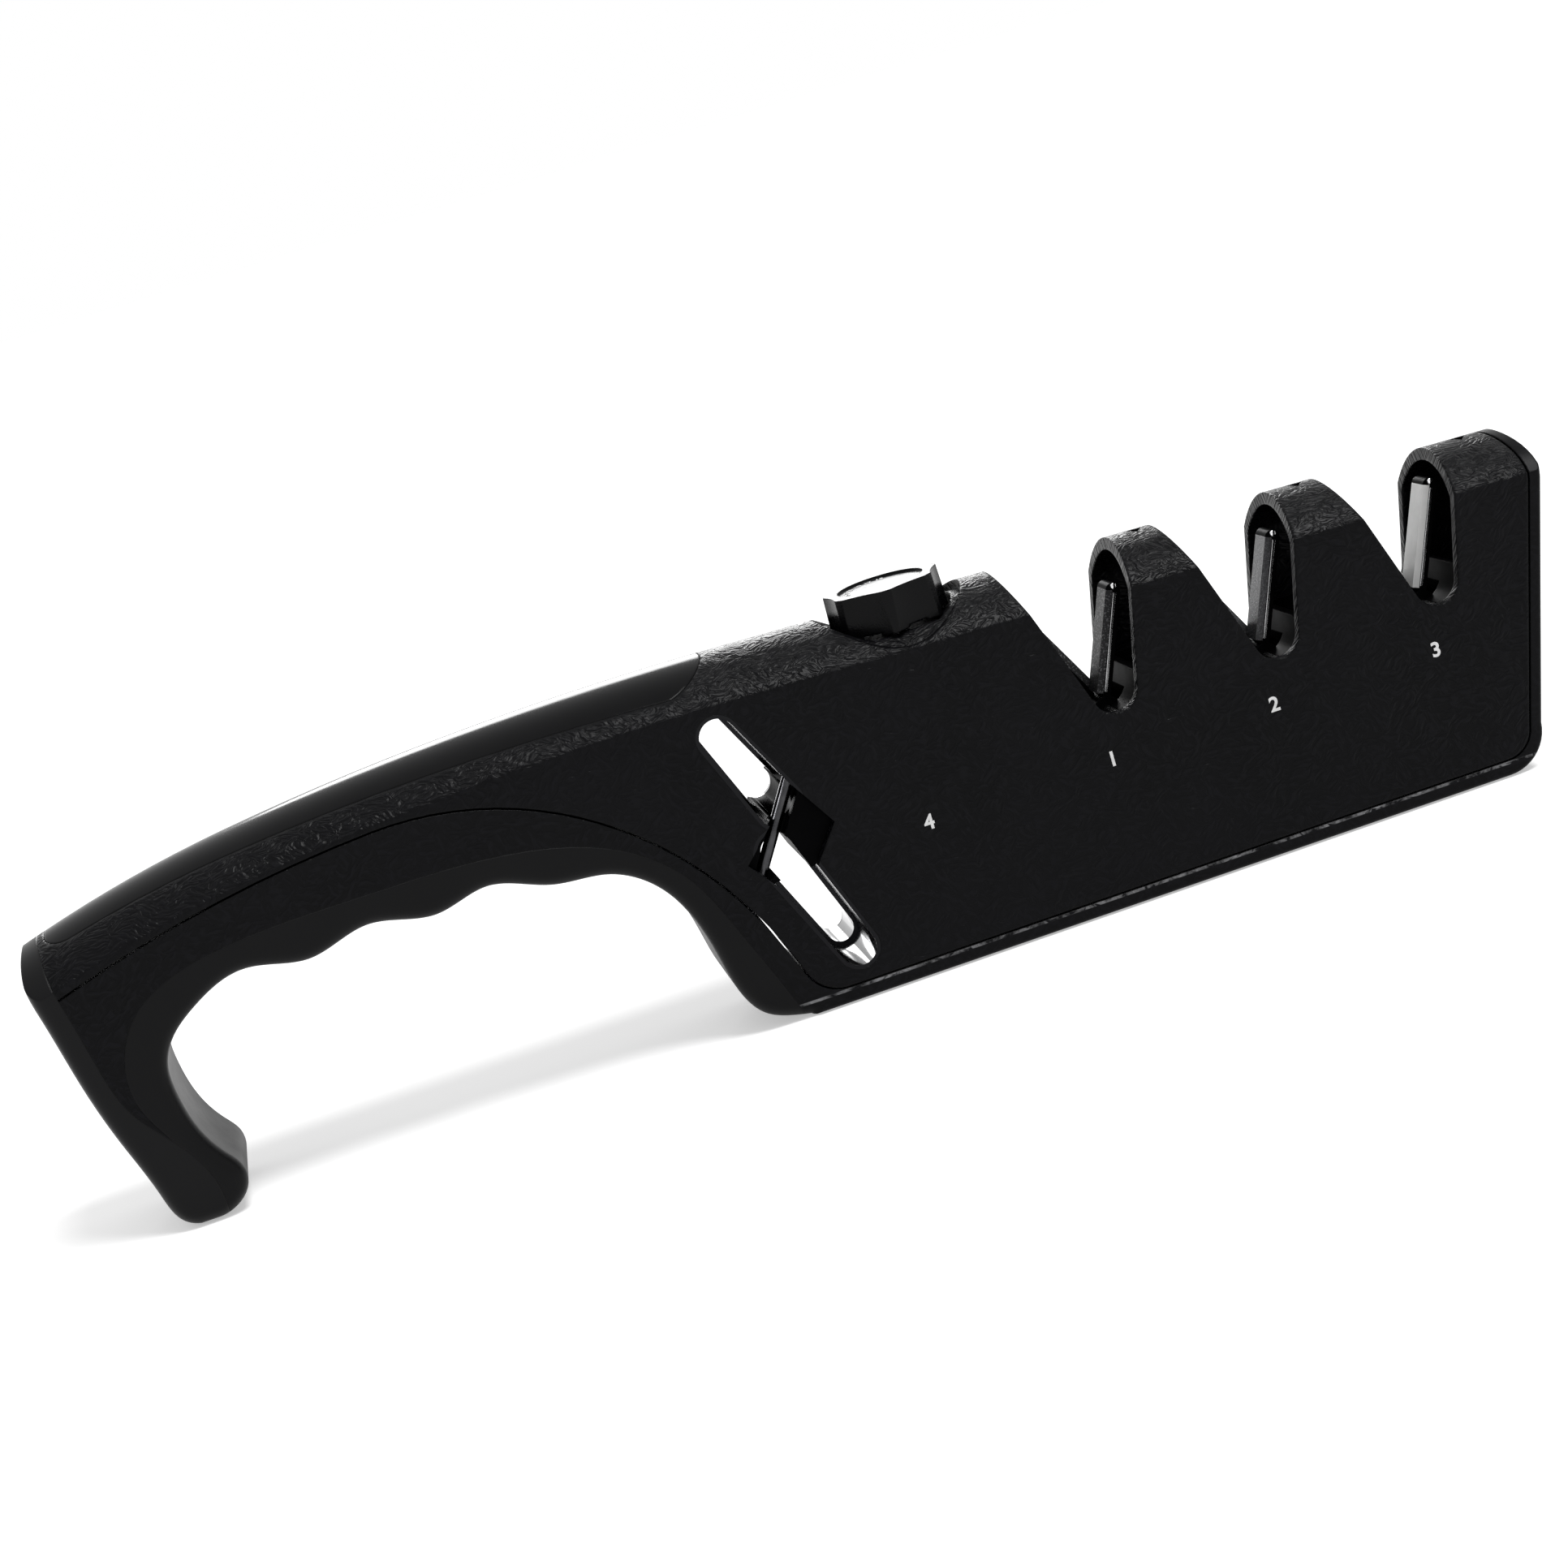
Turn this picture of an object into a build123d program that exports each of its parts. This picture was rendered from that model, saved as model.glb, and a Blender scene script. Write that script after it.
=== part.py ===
from build123d import *
import math
import os

# Pull through knife sharpener with a C-shaped grip, three V notches, an angle knob and a scissor slot.
# Millimetres. X runs along the length with the handle at -X, -Y is the front, +Z is up.
# The origin is the middle of the footprint, and the rubber pads stand on z = 0.

# Housing
overall_length = 300.0
body_height = 70.0
body_depth = 30.0
arch_rise = 7.8
crest_fall_angle = 2.39
cover_wall = 2.3
seam_gap = 0.4
fit_gap = 0.15
rail_height = 3.4
rim_thickness = 2.9
pad_proud = 0.3
overrun = 12.0
grip_edge_radius = 3.0
rail_edge_radius = 1.0

# Points of the side view, as shares of the overall length and the body height
crest_start_shares = (-0.0333, 1.0014)
crest_handle_shares = [(-0.2333, 0.9971), (-0.3600, 0.9486), (-0.5133, 0.8)]
grip_shares = [(-0.4350, 0.0), (-0.4225, 0.0160), (-0.4127, 0.0600), (-0.4122, 0.1130), (-0.4195, 0.1620),
               (-0.4290, 0.2350), (-0.4352, 0.3571), (-0.4350, 0.4250), (-0.4290, 0.4850), (-0.4083, 0.5600),
               (-0.3720, 0.6143), (-0.3330, 0.5843), (-0.2933, 0.6214), (-0.2513, 0.5886), (-0.2167, 0.6171),
               (-0.1790, 0.5657), (-0.1433, 0.5429), (-0.1117, 0.4429), (-0.1007, 0.3500), (-0.0932, 0.2300),
               (-0.0873, 0.1210), (-0.0750, 0.0400), (-0.0600, 0.0120), (-0.0480, 0.0)]
spine_shares = [(-0.4473, 0.0), (-0.4575, 0.0243), (-0.4655, 0.1120), (-0.4775, 0.2800), (-0.4880, 0.4571),
                (-0.4965, 0.6500), (-0.5000, 0.7571), (-0.4967, 0.8271), (-0.4800, 0.8857)]
right_end_shares = [(0.4317, 0.0), (0.4600, 0.1171), (0.4990, 0.7714), (0.4972, 0.8700), (0.4805, 0.9500)]
seam_handle_shares = [(-0.5100, 0.6643), (-0.4713, 0.7143), (-0.2733, 0.8614), (-0.1497, 0.7229),
                      (-0.0717, 0.3814), (-0.0443, 0.1229)]
seam_corner_share = -0.0217
soft_edge_shares = [(-0.4290, 0.0), (-0.4460, 0.2429), (-0.4600, 0.3900), (-0.4440, 0.5900),
                    (-0.3960, 0.6829), (-0.2983, 0.7057), (-0.1993, 0.6886), (-0.1300, 0.5960),
                    (-0.0955, 0.4600), (-0.0790, 0.3100), (-0.0660, 0.1700), (-0.0510, 0.0)]
cap_edge_shares = [(-0.4290, 0.0), (-0.4460, 0.2429), (-0.4630, 0.3430), (-0.4765, 0.5629),
                   (-0.4845, 0.7514), (-0.4880, 0.9500)]
core_top_shares = [(-0.4820, 0.6000), (-0.3733, 0.8143), (-0.2733, 0.8971), (-0.1700, 0.8600),
                   (-0.1080, 0.7200)]
core_low_shares = [(-0.0760, 0.5900), (-0.1500, 0.6714), (-0.3000, 0.7000), (-0.4200, 0.6300),
                   (-0.4560, 0.4700), (-0.4560, 0.3600), (-0.4360, 0.0900)]
core_arm_shares = [(-0.4560, 0.0900), (-0.4790, 0.3600)]
core_depth = 20.0

# Glossy inlay on top of the handle, seen from above
strip_thickness = 1.8
strip_left_x = -144.6
strip_right_x = -13.6
strip_left_half_width = 8.8
strip_right_half_width = 12.6
strip_left_radius = 5.0
strip_nose_length = 8.5
strip_nose_bulge = 1.6

# Knife notches, measured from the pivot under each one
notch_count = 3
notch_pitch = 33.0
first_pivot_x = 58.7
pivot_height = 35.5
notch_lean_angle = 4.0
notch_centre_rise = 6.15
notch_radius = 4.55
notch_half_angle = 16.0
floor_drop = 0.8
floor_thickness = 1.6
crest_mark_radius = 1.6
crest_mark_depth = 0.35
crest_marks_x = [74.0, 107.0, 141.0]

# Arms and abrasive bars
arm_angle_max = 25.0
arm_angle_min = 15.0
crossing_rise = 6.0
bar_width = 5.8
bar_thickness = 1.4
bar_length = 20.0
bar_start = 3.2
layer_gap = 0.4
front_layer_y = -3.2
arm_back = 1.5
arm_cap_length = 1.5
hub_radius = 2.8
pin_radius = 1.0
pin_play = 0.06
tail_length = 15.0
tail_thickness = 2.6
tail_width = 5.2
tail_reach = 2.4
fork_play = 0.15
peg_radius = 1.0
peg_reach = 3.4

# Sliders under the arms
slider_thickness = 2.6
slider_height = 5.0
slider_gap = 0.4
slider_end_reach = 3.4
slider_tab_height = 2.5
slider_tab_margin = 1.25
cam_peg_rise = 3.2
guide_play = 0.3

# Knob, shaft and cam
knob_x = 23.65
knob_radius = 11.7
knob_top_radius = 11.3
knob_bottom = 64.4
knob_height = 8.2
knob_flutes = 7
flute_radius = 18.6
flute_depth = 1.5
flute_phase_angle = -71.3
knob_edge = 0.4
knob_turn_angle = 100.0
knob_gap = 0.5
pocket_radius = 14.5
pocket_sink = 1.8
dial_recess = 0.5
dial_radius = 8.4
knob_cavity_inner = 4.6
knob_cavity_outer = 7.6
knob_cavity_depth = 5.0
shaft_radius = 2.5
shaft_play = 0.08
shaft_grip = 6.0
shaft_flat = 0.7
bushing_wall = 1.5
bushing_flange = 1.3
bushing_flange_thickness = 1.0
bushing_bottom = 50.6
boss_wall = 2.0
clip_thickness = 0.8
clip_gap = 0.2
clip_width = 1.9
clip_groove = 0.5
clip_mouth = 3.0
cam_radius = 11.9
cam_bottom = 23.7
cam_thickness = 2.8
cam_hub_radius = 4.6
cam_hub_height = 3.6
cam_track_radius = 8.2
cam_track_margin_angle = 3.0
cam_screw_radius = 1.1
cam_screw_length = 8.0
cam_screw_head_radius = 2.6
cam_screw_head = 1.3
detent_angle = 20.0
detent_place_radius = 9.3
detent_groove = 1.15
detent_groove_depth = 0.5
detent_dimple_radius = 1.6
detent_dimple_depth = 0.75
ball_radius = 1.25
ball_proud = 0.4
spring_wire = 0.22
spring_turns = 4
spring_length = 3.2

# Cavities of the cover
chamber_left_x = 7.0
chamber_roof = 57.4
cavity_left_x = 38.6
cavity_right_margin = 3.2

# Scissor slot
slot_end_radius = 3.5
slot_root_radius = 4.25
slot_step = 0.8
slot_step_share = 0.4
slot_top_centre = (-16.2, 56.9)
slot_top_root = (-9.0, 41.0)
slot_low_root = (-11.6, 32.4)
slot_low_centre = (-2.5, 10.2)
liner_wall = 0.7
window_points = [(-17.9, 31.9), (-5.6, 43.9), (0.1, 34.7), (-5.5, 27.4), (-13.8, 26.6)]
window_back = 2.3
insert_sink = 2.4
insert_channel_inset = 1.1
liner_gap = 0.2
scissor_rod_radius = 1.2
scissor_rod_ends = [(-16.2, 27.3), (-4.3, 45.9)]
scissor_rod_depth = 5.2

# Fastenings and pads
screw_places_x = [4.3, 40.9, 73.7, 106.7]
screw_offset_y = 1.2
screw_radius = 1.3
screw_length = 14.0
screw_head_radius = 2.6
screw_head_height = 1.5
screw_sink = 0.5
screw_socket = 1.1
screw_socket_depth = 0.8
boss_radius = 2.8
pad_thickness = 1.0
pad_length = 16.0
pad_width = 17.0
pad_corner = 2.0
pad_places_x = [23.65, 57.3, 90.2, 119.5]
tip_pad_length = 2.8
tip_pad_width = 18.0

# Chassis under the notches
carrier_wall = 2.0
carrier_side_gap = 0.3
carrier_left_x = 45.8
carrier_right_x = 131.2
carrier_top = 43.0
rib_offset = 5.4
rib_thickness = 1.8
rib_top = 30.0
arm_slot_half = 4.6
arm_slot_gap = 0.3
arm_slot_rise = 3.2

half_depth = body_depth / 2
arch_radius = (half_depth ** 2 + arch_rise ** 2) / (2 * arch_rise)
crest_slope = math.tan(math.radians(crest_fall_angle))
travel_angle = arm_angle_max - arm_angle_min
slider_travel = 2 * tail_length * math.sin(math.radians(travel_angle / 2))
slider_z = pivot_height - tail_length
pivots_x = [first_pivot_x + i * notch_pitch for i in range(notch_count)]
back_layer_y = front_layer_y + bar_width + layer_gap
front_slider_y = front_layer_y - slider_gap - slider_thickness
back_slider_y = back_layer_y + tail_thickness + slider_gap
base_top = rail_height + pad_proud + seam_gap
screw_seat = pad_proud + screw_sink + screw_head_height
screw_top = screw_seat + screw_length
detent_depth = ball_radius * 2 - ball_proud - knob_gap + spring_length

def spot(share):
    """A point of the side view from its shares."""
    return Vector(share[0] * overall_length, share[1] * body_height + pad_proud)


def line(a, b):
    return Edge.make_line(Vector(a), Vector(b))


def arc(a, b, c):
    return Edge.make_three_point_arc(Vector(a), Vector(b), Vector(c))


def arc_chain(start, tangent, points):
    """Arcs from point to point, each one tangent to the last."""
    edges = []
    for point in points:
        edge = Edge.make_tangent_arc(start, tangent, point)
        edges.append(edge)
        start = point
        tangent = edge % 1
    return edges


def polygon(points):
    return Face(Wire.make_polygon([Vector(p) for p in points]))


def side_plane(y):
    return Plane(origin=(0, y, 0), x_dir=(1, 0, 0), z_dir=(0, -1, 0))


def prism(face, y_low, y_high):
    """A side-view face made solid between two depths."""
    return extrude(side_plane(y_high) * face, amount=y_high - y_low, dir=(0, -1, 0))


def slab(x_low, x_high, y_low, y_high, z_low, z_high):
    return Pos((x_low + x_high) / 2, (y_low + y_high) / 2, (z_low + z_high) / 2) * Box(
        x_high - x_low, y_high - y_low, z_high - z_low)


def rod(x, y, z_low, z_high, radius):
    return Pos(x, y, (z_low + z_high) / 2) * Cylinder(radius, z_high - z_low)


def cross_rod(x, z, y_low, y_high, radius):
    """A cylinder along Y."""
    return Pos(x, (y_low + y_high) / 2, z) * Rot(90, 0, 0) * Cylinder(radius, y_high - y_low)


def capsule(a, b, radius_a, radius_b):
    """The outline round two circles."""
    start, end = Vector(a), Vector(b)
    along = (end - start).normalized()
    across = Vector(-along.Y, along.X)
    lean = (radius_a - radius_b) / (end - start).length
    side = math.sqrt(1 - lean ** 2)
    left = along * lean + across * side
    right = along * lean - across * side
    return Face(Wire([line(start + left * radius_a, end + left * radius_b),
                      arc(end + left * radius_b, end + along * radius_b, end + right * radius_b),
                      line(end + right * radius_b, start + right * radius_a),
                      arc(start + right * radius_a, start - along * radius_a, start + left * radius_a)]))


def crest_z(x):
    """Height of the crest over the straight part of the body."""
    start = spot(crest_start_shares)
    return start.Y - (x - start.X) * crest_slope


def crest_path():
    """The line of the crest from the right end, along the body and down the handle."""
    start = spot(crest_start_shares)
    right_x = overall_length / 2 + overrun
    right = Vector(right_x, crest_z(right_x))
    handle = [spot(s) for s in crest_handle_shares]
    edges = [line(right, start)] + arc_chain(start, start - right, handle)
    end = edges[-1] @ 1
    edges.append(line(end, end + (edges[-1] % 1) * body_height))
    return side_plane(0).from_local_coords(Wire(edges))


def arch_block(drop, inset):
    """Everything under the arched top, lowered by drop and with its sides moved in by inset."""
    path = crest_path()
    half = half_depth - inset
    radius = arch_radius - inset
    edge_drop = drop + radius - math.sqrt(radius ** 2 - half ** 2)
    deep = body_height + 2 * overrun
    outline = [arc((-half, edge_drop), (0, drop), (half, edge_drop)),
               line((half, edge_drop), (half, deep)),
               line((half, deep), (-half, deep)),
               line((-half, deep), (-half, edge_drop))]
    plane = Plane(origin=path @ 0, x_dir=(0, 1, 0), z_dir=path % 0)
    return sweep(plane * Face(Wire(outline)), path=path)


def outer_face():
    """The side view of the whole housing, open at the top for the arch to trim."""
    grip = [spot(s) for s in grip_shares]
    spine = [spot(s) for s in spine_shares]
    right = [spot(s) for s in right_end_shares]
    top = body_height + overrun
    end_arc = Edge.make_tangent_arc(right[0], Vector(1, 0), right[1])
    return Face(Wire([
        Edge.make_spline(grip), line(grip[-1], right[0]), end_arc, line(right[1], right[2]),
        arc(right[2], right[3], right[4]), line(right[4], (right[4].X, top)),
        line((right[4].X, top), (spine[-1].X, top)), line((spine[-1].X, top), spine[-1]),
        Edge.make_spline(spine), line(spine[0], grip[0])]))


def side_edges(block):
    return [e for e in block.edges() if abs(abs(e.center().Y) - half_depth) < fit_gap]


def housing_block():
    """The outer form of the housing, before it is parted into its pieces."""
    block = prism(outer_face(), -half_depth, half_depth)
    curved = [e for e in side_edges(block) if e.geom_type == GeomType.BSPLINE]
    block = fillet(curved, grip_edge_radius)
    right_x = spot(right_end_shares[0]).X
    rail = [e for e in side_edges(block) if e.center().X > right_x or (e.center().Z < rail_height and e.center().X > 0)]
    return fillet(rail, rail_edge_radius) & arch_block(0, 0)


def seam_face(gap):
    """The side view of all that lies over the seam between cover and frame, smaller by the gap."""
    points = [spot(s) for s in seam_handle_shares]
    corner = Vector(seam_corner_share * overall_length, rail_height + pad_proud)
    right = [spot(s) for s in right_end_shares]
    slope = (right[2] - right[1]).normalized()
    end_low = right[1] - Vector(rim_thickness, 0)
    end_high = right[2] - Vector(rim_thickness, 0)
    last = Vector(right[0].X, corner.Y)
    far = body_height + 2 * overrun
    chain = arc_chain(points[1], points[1] - points[0], points[2:] + [corner])
    top_arc = Edge.make_tangent_arc(end_high, slope, Vector(right[4].X - rim_thickness / 2, right[4].Y))
    end = top_arc @ 1
    face = Face(Wire([line(points[0], points[1])] + chain + [
        line(corner, last), Edge.make_tangent_arc(last, Vector(1, 0), end_low), line(end_low, end_high), top_arc,
        line(end, (end.X, far)), line((end.X, far), (points[0].X, far)), line((points[0].X, far), points[0])]))
    if gap:
        return offset(face, amount=-gap).faces()[0]
    return face


def soft_face():
    """The side view of the over-moulded grip, from its textured edge inwards to the hollow."""
    edge = [spot(s) for s in soft_edge_shares]
    low = -overrun
    first, last = edge[0], edge[-1]
    return Face(Wire([Edge.make_spline(edge), line(last, (last.X, low)), line((last.X, low), (first.X, low)),
                      line((first.X, low), first)]))


def cap_face():
    """The side view of the rear cap, outwards from its inner edge."""
    edge = [spot(s) for s in cap_edge_shares]
    far = -overall_length / 2 - overrun
    low = -overrun
    top = body_height + overrun
    return Face(Wire([line((edge[0].X, low), edge[0]), Edge.make_spline(edge), line(edge[-1], (edge[-1].X, top)),
                      line((edge[-1].X, top), (far, top)), line((far, top), (far, low)),
                      line((far, low), (edge[0].X, low))]))


def core_block():
    """The stiff core inside the handle and the arm."""
    top = [spot(s) for s in core_top_shares]
    low = [spot(s) for s in core_low_shares]
    arm = [spot(s) for s in core_arm_shares]
    face = Face(Wire([Edge.make_spline(top), line(top[-1], low[0]), Edge.make_spline(low), line(low[-1], arm[0]),
                      line(arm[0], arm[1]), line(arm[1], top[0])]))
    return prism(face, -core_depth / 2, core_depth / 2)


def strip_prism(inset):
    """The glossy inlay seen from above, as a tall block."""
    left = strip_left_x + inset
    right = strip_right_x - inset
    a = strip_left_half_width - inset
    b = strip_right_half_width - inset
    radius = strip_left_radius
    corner = radius * (1 - math.sin(math.pi / 4))
    nose = right - strip_nose_length
    middle = (nose + right) / 2 + strip_nose_bulge
    outline = Face(Wire([
        line((left + radius, -a), (nose, -b)), arc((nose, -b), (middle, -b * math.sin(math.pi / 4)), (right, 0)),
        arc((right, 0), (middle, b * math.sin(math.pi / 4)), (nose, b)), line((nose, b), (left + radius, a)),
        arc((left + radius, a), (left + corner, a - corner), (left, a - radius)),
        line((left, a - radius), (left, radius - a)),
        arc((left, radius - a), (left + corner, corner - a), (left + radius, -a))]))
    return Pos(0, 0, body_height / 2) * extrude(outline, amount=body_height, dir=(0, 0, 1))


def notch_face(grow, height):
    """A V with a round bottom, standing on its pivot, wider by grow on every side."""
    radius = notch_radius + grow
    angle = math.radians(notch_half_angle)
    side = Vector(radius * math.cos(angle), notch_centre_rise - radius * math.sin(angle))
    reach = (height - side.Y) * math.tan(angle)
    return Face(Wire([
        arc((-side.X, side.Y), (0, notch_centre_rise - radius), (side.X, side.Y)),
        line(side, (side.X + reach, height)), line((side.X + reach, height), (-side.X - reach, height)),
        line((-side.X - reach, height), (-side.X, side.Y))]))


def at_pivot(shape, i, angle):
    """Puts a shape drawn about a pivot on notch i, leaning towards +X by the angle."""
    return Pos(pivots_x[i], 0, pivot_height) * Rot(0, angle, 0) * shape


def notch_cut(i, grow, half):
    return at_pivot(prism(notch_face(grow, body_height), -half, half), i, -notch_lean_angle)


def cover_cavity():
    """The hollow of the cover: an arched tunnel through the towers and a chamber under the knob."""
    right = [spot(s) for s in right_end_shares]
    shift = rim_thickness + cavity_right_margin
    low = -overrun
    top = body_height + overrun
    tunnel = polygon([(cavity_left_x, low), (right[1].X - shift, low), (right[1].X - shift, right[1].Y),
                      (right[2].X - shift, right[2].Y), (right[2].X - shift, top), (cavity_left_x, top)])
    hollow = prism(tunnel, -half_depth, half_depth) & arch_block(cover_wall, cover_wall)
    inner = half_depth - cover_wall
    chamber = slab(chamber_left_x, cavity_left_x + overrun, -inner, inner, low, chamber_roof)
    return hollow + chamber


def knob_pocket():
    """The round pocket with its arched floor, and the deeper well that the knob turns in."""
    top = body_height + overrun
    disc = rod(knob_x, 0, chamber_roof, top, pocket_radius) - arch_block(pocket_sink, 0)
    return disc + rod(knob_x, 0, knob_bottom - knob_gap, top, knob_radius + knob_gap)


def slot_prisms(grow, y_low, y_high):
    """The two offset channels of the scissor slot."""
    upper = capsule(slot_top_centre, slot_top_root, slot_end_radius + grow, slot_root_radius + grow)
    lower = capsule(slot_low_centre, slot_low_root, slot_end_radius + grow, slot_root_radius + grow)
    return prism(upper, y_low, y_high), prism(lower, y_low, y_high)


def window_block():
    return prism(polygon(window_points), -half_depth - overrun, half_depth - window_back)


def scissor_rod():
    a = Vector(scissor_rod_ends[0][0], scissor_rod_depth - half_depth, scissor_rod_ends[0][1])
    b = Vector(scissor_rod_ends[1][0], scissor_rod_depth - half_depth, scissor_rod_ends[1][1])
    plane = Plane(origin=a, x_dir=(0, 1, 0), z_dir=b - a)
    return extrude(plane * Circle(scissor_rod_radius), amount=(b - a).length)


def upper_cover(block):
    cover = block & prism(seam_face(0), -half_depth, half_depth)
    cover -= prism(cap_face(), -half_depth, half_depth)
    cover -= strip_prism(0) - arch_block(strip_thickness, 0)
    cover -= cover_cavity()
    for x in screw_places_x[1:]:
        cover += rod(x, screw_offset_y, base_top, body_height, boss_radius) & arch_block(cover_wall / 2, cover_wall / 2)
    sleeve = shaft_radius + shaft_play + bushing_wall
    cover += rod(knob_x, 0, bushing_bottom, chamber_roof, sleeve + boss_wall)
    cover -= knob_pocket()
    floor = knob_bottom - knob_gap
    cover -= rod(knob_x, 0, bushing_bottom, floor, sleeve)
    cover -= rod(knob_x, 0, floor - bushing_flange_thickness, floor, sleeve + bushing_flange)
    cover -= rod(knob_x + detent_place_radius, 0, floor - detent_depth, floor, ball_radius + fit_gap)
    for i in range(notch_count):
        cover -= notch_cut(i, 0, body_depth)
    for cut in slot_prisms(liner_wall, -body_depth, body_depth):
        cover -= cut
    cover -= window_block()
    cover -= scissor_rod()
    cover -= core_block()
    for x in screw_places_x:
        cover -= rod(x, screw_offset_y, 0, screw_top, screw_radius)
    for x in crest_marks_x:
        cover -= Pos(x, 0, crest_z(x) + crest_mark_radius - crest_mark_depth) * Sphere(crest_mark_radius)
    return cover


def lower_frame(block):
    frame = block - prism(seam_face(-seam_gap), -half_depth, half_depth)
    frame -= prism(soft_face(), -half_depth, half_depth)
    frame -= prism(cap_face(), -half_depth, half_depth)
    frame += core_block()
    for x in screw_places_x:
        frame -= rod(x, screw_offset_y, 0, base_top, screw_radius + fit_gap)
        frame -= rod(x, screw_offset_y, 0, screw_seat, screw_head_radius + fit_gap)
    for x in pad_places_x:
        frame -= pad(x)
    return frame


def soft_grip(block):
    grip = block & prism(soft_face(), -half_depth, half_depth)
    return grip - prism(cap_face(), -half_depth, half_depth) - core_block()


def end_cap(block):
    return (block & prism(cap_face(), -half_depth, half_depth)) - core_block() - tip_pad()


def handle_top_strip(block):
    return (block & strip_prism(fit_gap)) - arch_block(strip_thickness, 0)


def pad(x):
    return Pos(x, 0, 0) * extrude(RectangleRounded(pad_length, pad_width, pad_corner), amount=pad_thickness)


def tip_pad():
    x = (spot(grip_shares[0]).X + spot(spine_shares[0]).X) / 2
    return Pos(x, 0, 0) * extrude(RectangleRounded(tip_pad_length, tip_pad_width, tip_pad_length / 3), amount=pad_thickness)


def base_pads():
    return [pad(x) for x in pad_places_x] + [tip_pad()]


def scissor_liners():
    """The two bright channels, each with a step that narrows it towards the back."""
    step_y = half_depth - body_depth * slot_step_share
    outer = slot_prisms(liner_wall, -half_depth, half_depth)
    front = slot_prisms(0, -body_depth, step_y)
    back = slot_prisms(-slot_step, -body_depth, body_depth)
    liners = [o - f - b - window_block() - scissor_rod() for o, f, b in zip(outer, front, back)]
    return [liners[0], liners[1] - slot_prisms(liner_wall + liner_gap, -half_depth, half_depth)[0]]


def scissor_insert():
    body = window_block() & slab(-overall_length, overall_length, insert_sink - half_depth, half_depth, 0, body_height)
    for cut in slot_prisms(-insert_channel_inset, -body_depth, body_depth):
        body -= cut
    return body - scissor_rod()


def screw(x, y, seat, radius, length, head_radius, head_height):
    """A screw driven upwards, with its head under the seat."""
    body = rod(x, y, seat - head_height, seat, head_radius) + rod(x, y, seat, seat + length, radius)
    socket = RegularPolygon(screw_socket, 6)
    return body - Pos(x, y, seat - head_height) * extrude(socket, amount=screw_socket_depth)


def housing_screws():
    return [screw(x, screw_offset_y, screw_seat, screw_radius, screw_length, screw_head_radius, screw_head_height)
            for x in screw_places_x]


def bar_carrier():
    """The chassis that holds the pivots: two side walls, a dished floor under each notch, and ribs."""
    half = half_depth - cover_wall - carrier_side_gap
    inner = half - carrier_wall
    z_low = rail_height + pad_proud
    outer = slab(carrier_left_x, carrier_right_x, -half, half, z_low, carrier_top)
    body = outer - slab(carrier_left_x, carrier_right_x, -inner, inner, z_low, carrier_top)
    for i in range(notch_count):
        trough = notch_cut(i, floor_drop + floor_thickness, half) & outer
        body += trough
        for side in (-1, 1):
            rib_x = pivots_x[i] + side * rib_offset
            body += slab(rib_x - rib_thickness / 2, rib_x + rib_thickness / 2, -half, half, z_low, rib_top)
    for i in range(notch_count):
        body -= notch_cut(i, floor_drop, body_depth)
        low, high = front_layer_y - arm_slot_gap, back_layer_y + bar_width + arm_slot_gap
        gap = slab(-arm_slot_half, arm_slot_half, low, high, -tail_length, arm_slot_rise)
        body -= at_pivot(gap, i, -notch_lean_angle)
        body -= cross_rod(pivots_x[i], pivot_height, -half, half, pin_radius)
    z_mid = slider_z
    reach = slider_height / 2 + guide_play
    for y in (front_slider_y, back_slider_y):
        body -= slab(carrier_left_x, carrier_right_x, y - guide_play, y + slider_thickness + guide_play,
                     z_mid - reach, z_mid + reach)
    tails_low, tails_high = front_layer_y - slider_gap - guide_play, back_layer_y + tail_thickness + slider_gap
    return body - slab(carrier_left_x, carrier_right_x, tails_low, tails_high, z_mid - reach, z_mid + reach)


def pivot_pins():
    half = half_depth - cover_wall - carrier_side_gap
    return [cross_rod(x, pivot_height, -half, half, pin_radius) for x in pivots_x]


def limb_angle(side):
    return side * arm_angle_max - notch_lean_angle


def arm(i, side):
    """One swinging arm: hub, bar holder and forked tail. Side is 1 for the arm that leans to +X."""
    y_low = front_layer_y if side > 0 else back_layer_y
    face_x = -side * crossing_rise * math.sin(math.radians(arm_angle_max))
    seat_x = face_x + side * bar_thickness
    back_x = seat_x + side * arm_back
    top = bar_start + bar_length
    cap = top + arm_cap_length
    middle = (face_x + back_x) / 2
    y_high = y_low + bar_width
    plate = prism(polygon([(seat_x, 0), (back_x, 0), (back_x, top), (seat_x, top)]), y_low, y_high)
    end = prism(Face(Wire([line((face_x, top), (back_x, top)), arc((back_x, top), (middle, cap), (face_x, top))])), y_low, y_high)
    limb = plate + end + cross_rod(0, 0, y_low, y_high, hub_radius)
    shape = at_pivot(limb, i, limb_angle(side))
    tail_end = -tail_length - tail_reach
    tail = slab(-tail_width / 2, tail_width / 2, y_low, y_low + tail_thickness, tail_end, 0)
    notch = slab(-peg_radius - fork_play, peg_radius + fork_play, y_low, y_low + tail_thickness, tail_end,
                 -tail_length + peg_radius + fork_play)
    shape += at_pivot(tail - notch, i, side * travel_angle / 2)
    return shape - cross_rod(pivots_x[i], pivot_height, y_low, y_high, pin_radius + pin_play)


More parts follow.
